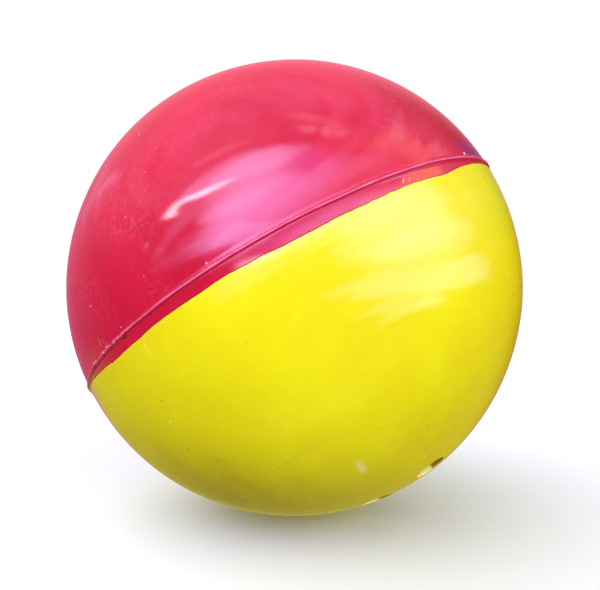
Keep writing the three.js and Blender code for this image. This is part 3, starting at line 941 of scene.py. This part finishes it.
plate = metal("bell_nickel_plate", (0.80, 0.80, 0.79), (0.66, 0.65, 0.63), (0.42, 0.33, 0.22), 0.10, 0.24, 3, 1600.0)
wire = metal("bell_wire_steel", (0.62, 0.62, 0.63), (0.48, 0.48, 0.49), (0.33, 0.25, 0.18), 0.20, 0.36, 4, 2600.0)
shot = metal("bell_shot_steel", (0.50, 0.50, 0.51), (0.36, 0.36, 0.37), (0.26, 0.18, 0.12), 0.26, 0.46, 5, 900.0)
for obj, node, body, slot, mat in (
    (upper, "bell_upper_cup", "bell", "bell_plate", plate),
    (lower, "bell_lower_cup", "bell", "bell_plate", plate),
    (wire_loop(), "bell_loop", "bell", "bell_wire", wire),
    (steel_pellet(), "bell_pellet", "pellet", "pellet_steel", shot),
):
    obj.data.materials.clear()
    obj.data.materials.append(mat)
    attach(obj, body)
    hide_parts(node)

# ------------------------------------------------------------------ light
world = bpy.data.worlds.new("studio")
bpy.context.scene.world = world
world.use_nodes = True
wt = world.node_tree
wt.nodes.clear()


class World(Nodes):
    def __init__(self, tree):
        self.nt = tree
        self.coord = self.add("ShaderNodeTexCoord").outputs["Generated"]


W = World(wt)
CX, CY, CZ = tuple(RIGHT), tuple(UP), tuple(BACK)


def mirrored(px, py):
    """Direction that the ball's surface at that place in the frame reflects to the camera."""
    n = direction(px, py)
    v = BACK * DIST - n * R
    v = v / np.linalg.norm(v)
    return 2 * n * (n @ v) - v


# the reflected surroundings are drawn out in streaks that run up to the right
SWEEP = RIGHT * 0.89 + UP * 0.45
CROSS = np.cross(BACK, SWEEP)
sweep_at = W.join(
    W.math("MULTIPLY", W.vec("DOT_PRODUCT", W.coord, tuple(SWEEP)), 1.1),
    W.math("MULTIPLY", W.vec("DOT_PRODUCT", W.coord, tuple(CROSS)), 11.0),
    W.math("MULTIPLY", W.vec("DOT_PRODUCT", W.coord, tuple(BACK)), 1.6),
)
streak = W.math("SUBTRACT", W.noise(1.0, 3, 0.55, sweep_at), 0.5)
streak_at = W.vec("ADD", W.coord, W.vec("SCALE", tuple(SWEEP), scale=W.math("MULTIPLY", streak, 1.05)))
streak_at = W.vec("NORMALIZE", streak_at)
calm_at = W.vec("NORMALIZE", W.vec("ADD", W.coord, W.vec("SCALE", tuple(SWEEP), scale=W.math("MULTIPLY", streak, 0.30))))


def softbox(centre, tip, width, soft=0.5, calm=False):
    """A soft-edged elliptical panel that shows up on the ball between two places: centre and one end of its
    long axis in frame places, width as a share of the length."""
    c = mirrored(*centre)
    e = mirrored(*tip)
    long = e - c * (e @ c)
    half = np.linalg.norm(long)
    long = long / half
    short = np.cross(c, long)
    half = math.asin(min(half, 0.999))
    d = calm_at if calm else streak_at
    fwd = W.vec("DOT_PRODUCT", d, tuple(c))
    a = W.math("ARCTAN2", W.vec("DOT_PRODUCT", d, tuple(long)), fwd)
    b = W.math("ARCTAN2", W.vec("DOT_PRODUCT", d, tuple(short)), fwd)
    a = W.math("DIVIDE", a, half)
    b = W.math("DIVIDE", b, half * width)
    q = W.math("ADD", W.math("MULTIPLY", a, a), W.math("MULTIPLY", b, b))
    return W.ramp(q, (1.0 - soft) ** 2, (1.0 + soft * 0.4) ** 2, 1.0, 0.0)


# what the gloss reflects: a dim surround, a hazy band overhead and a set of soft panels
up_dot = W.vec("DOT_PRODUCT", W.coord, CY)
right_dot = W.vec("DOT_PRODUCT", W.coord, CX)
back_dot = W.vec("DOT_PRODUCT", W.coord, CZ)
front = W.mix(W.ramp(up_dot, 0.0, 0.75), (0.12, 0.10, 0.08), (1.00, 0.70, 1.10))
strokes = W.ramp(streak, -0.18, 0.18, 0.58, 1.36)
front = W.mix(W.ramp(up_dot, 0.1, 0.5), front, W.vec("SCALE", front, scale=strokes))
behind = W.mix(W.ramp(up_dot, -0.31, -0.21), (0.54, 0.46, 0.10), (0.60, 0.16, 0.28))
behind = W.mix(W.ramp(up_dot, -0.10, 0.50), behind, (1.00, 0.36, 0.46))
limb = W.mix(W.ramp(up_dot, -0.42, -0.10), (0.66, 0.44, 0.06), (0.30, 0.10, 0.01))
limb = W.mix(W.ramp(up_dot, 0.10, 0.32), limb, (0.01, 0.13, 0.09))
behind = W.mix(W.ramp(right_dot, 0.15, 0.55), behind, limb)
total = W.mix(W.ramp(back_dot, -0.75, -0.05), behind, front)
SKY = (4.6, 4.3, 8.6)
HAZE = (7.5, 8.2, 10.0)
WARM = (4.2, 1.6, 0.8)
PALE = (3.6, 4.8, 7.6)
PANELS = [
    # centre, tip, width, soft, strength, colour
    ((194, 196), (236, 176), 0.12, 0.80, 2.30, HAZE),
    ((216, 175), (268, 150), 0.20, 0.90, 0.60, SKY),
    ((262, 162), (300, 148), 0.34, 0.70, 0.50, SKY),
    ((186, 216), (216, 190), 0.20, 0.90, 0.24, SKY),
    ((244, 210), (300, 184), 0.40, 0.85, 0.50, SKY),
    ((240, 238), (268, 225), 0.60, 0.35, 0.62, SKY),
    ((182, 254), (214, 238), 0.30, 0.90, 0.17, SKY),
    ((325, 131), (345, 135), 0.40, 0.90, 0.45, (4.4, 4.0, 4.6)),
    ((318, 182), (380, 160), 0.24, 0.90, 0.30, SKY),
    ((345, 216), (400, 194), 0.24, 0.85, 0.34, PALE),
    ((398, 208), (444, 198), 0.30, 0.85, 0.28, PALE),
    ((426, 238), (470, 227), 0.22, 0.80, 0.38, PALE),
    ((424, 276), (482, 264), 0.18, 0.70, 0.52, PALE),
    ((410, 300), (446, 284), 0.22, 0.90, 0.32, PALE),
    ((382, 240), (424, 224), 0.28, 0.95, 0.12, PALE),
    ((92, 212), (106, 205), 0.36, 0.90, 0.040, SKY),
    ((114, 182), (132, 168), 0.26, 0.90, 0.030, SKY),
    ((168, 160), (180, 152), 0.45, 0.80, 0.10, WARM),
    ((410, 146), (446, 156), 0.30, 0.90, 0.40, WARM),
    ((322, 405), (392, 366), 0.24, 0.95, 0.16, (3.0, 3.0, 0.6)),
]
for c, t, w, soft, power, colour in PANELS:
    panel = W.mix(softbox(c, t, w, soft), (0, 0, 0), tuple(power * v for v in colour))
    total = W.mix(1.0, total, panel, "ADD")

# broad even veils
VEILS = [
    ((423, 175), (441, 169), 0.42, 0.50, 0.90, (4.6, 2.2, 0.1)),
    ((224, 150), (254, 140), 0.16, 0.80, 0.26, (6.0, 3.4, 3.2)),
    ((318, 120), (352, 132), 0.22, 0.80, 0.20, (6.0, 3.2, 2.6)),
    ((108, 186), (122, 176), 0.24, 0.80, 0.10, (5.0, 3.0, 5.0)),
    ((300, 425), (352, 396), 0.18, 0.90, 0.10, (3.0, 3.2, 0.6)),
    ((260, 261), (284, 257), 0.26, 0.50, 0.85, HAZE),
    ((262, 196), (330, 158), 0.52, 0.75, 0.50, (4.4, 2.2, 8.4)),
    ((240, 190), (284, 158), 0.50, 0.95, 0.55, (6.0, 5.0, 8.0)),
    ((300, 236), (380, 196), 0.16, 0.80, 0.40, (4.0, 2.2, 8.0)),
    ((398, 228), (444, 209), 0.52, 0.85, 0.36, PALE),
    ((360, 165), (415, 150), 0.40, 0.90, 0.22, (4.5, 0.9, 0.2)),
]
for c, t, w, soft, power, colour in VEILS:
    panel = W.mix(softbox(c, t, w, soft, calm=True), (0, 0, 0), tuple(power * v for v in colour))
    total = W.mix(1.0, total, panel, "ADD")

# what lights the rubber's own colour: broad soft lamps, in camera axes (right, up, towards the camera)
LAMPS = [
    ((-0.418, 0.206, 0.885), 0.76),
    ((0.566, 0.165, 0.808), 2.28),
    ((-0.147, 0.742, 0.654), 0.36),
    ((-0.665, 0.697, 0.269), 1.42),
    ((0.979, -0.066, 0.192), 0.24),
    ((-0.964, 0.238, -0.115), 0.44),
    ((-0.376, 0.860, -0.346), 0.50),
    ((-0.566, 0.381, -0.731), 0.68),
    ((0.300, 0.300, -0.900), 0.80),
    ((0.000, -0.120, -0.990), 0.70),
]
poly = None
for (lx, ly, lz), power in LAMPS:
    towards = RIGHT * lx + UP * ly + BACK * lz
    lobe = W.math("MAXIMUM", W.vec("DOT_PRODUCT", W.coord, tuple(towards / np.linalg.norm(towards))), 0.0)
    lobe = W.math("MULTIPLY", W.math("POWER", lobe, 4.0), power)
    poly = lobe if poly is None else W.math("ADD", poly, lobe)
fill = W.mix(W.math("MULTIPLY", poly, 1.15), (0, 0, 0), (1.0, 1.0, 1.0))
n = fill.node
n.clamp_factor = False

ray = W.add("ShaderNodeLightPath")
shown = W.mix(ray.outputs["Is Glossy Ray"], fill, total)
shown = W.mix(ray.outputs["Is Camera Ray"], shown, (1.0, 1.0, 1.0))
bg = W.add("ShaderNodeBackground")
W.link(shown, bg.inputs["Color"])
bg.inputs["Strength"].default_value = 1.0
wo = W.add("ShaderNodeOutputWorld")
W.link(bg.outputs[0], wo.inputs["Surface"])

# ------------------------------------------------------------------ floor: pale, level with the camera's horizon
TILT = math.radians(3.0)
FLOOR = (0.86, 0.88, 0.98, 1.0)
floor_up = UP * math.cos(TILT) + BACK * math.sin(TILT)
floor_mesh = bpy.data.meshes.new("floor")
bm = bmesh.new()
bmesh.ops.create_circle(bm, cap_ends=True, radius=0.6, segments=96)
bm.to_mesh(floor_mesh)
bm.free()
floor = bpy.data.objects.new("floor", floor_mesh)
bpy.context.scene.collection.objects.link(floor)
floor.matrix_world = Matrix.Translation(Vector(floor_up * -(R + 0.02) * MM)) @ Vector(floor_up).to_track_quat("Z", "Y").to_matrix().to_4x4()
floor.visible_diffuse = False
floor.visible_glossy = False
floor.visible_shadow = False
Nf = Nodes("floor_pale")
Nf.nt.nodes.remove(Nf.bsdf)
diff = Nf.add("ShaderNodeBsdfDiffuse")
diff.inputs["Color"].default_value = FLOOR
clear = Nf.add("ShaderNodeBsdfTransparent")
both = Nf.add("ShaderNodeMixShader")
geo = Nf.add("ShaderNodeNewGeometry")
Nf.link(geo.outputs["Backfacing"], both.inputs[0])
Nf.link(diff.outputs[0], both.inputs[1])
Nf.link(clear.outputs[0], both.inputs[2])
Nf.link(both.outputs[0], Nf.out.inputs["Surface"])
floor_mesh.materials.append(Nf.mat)
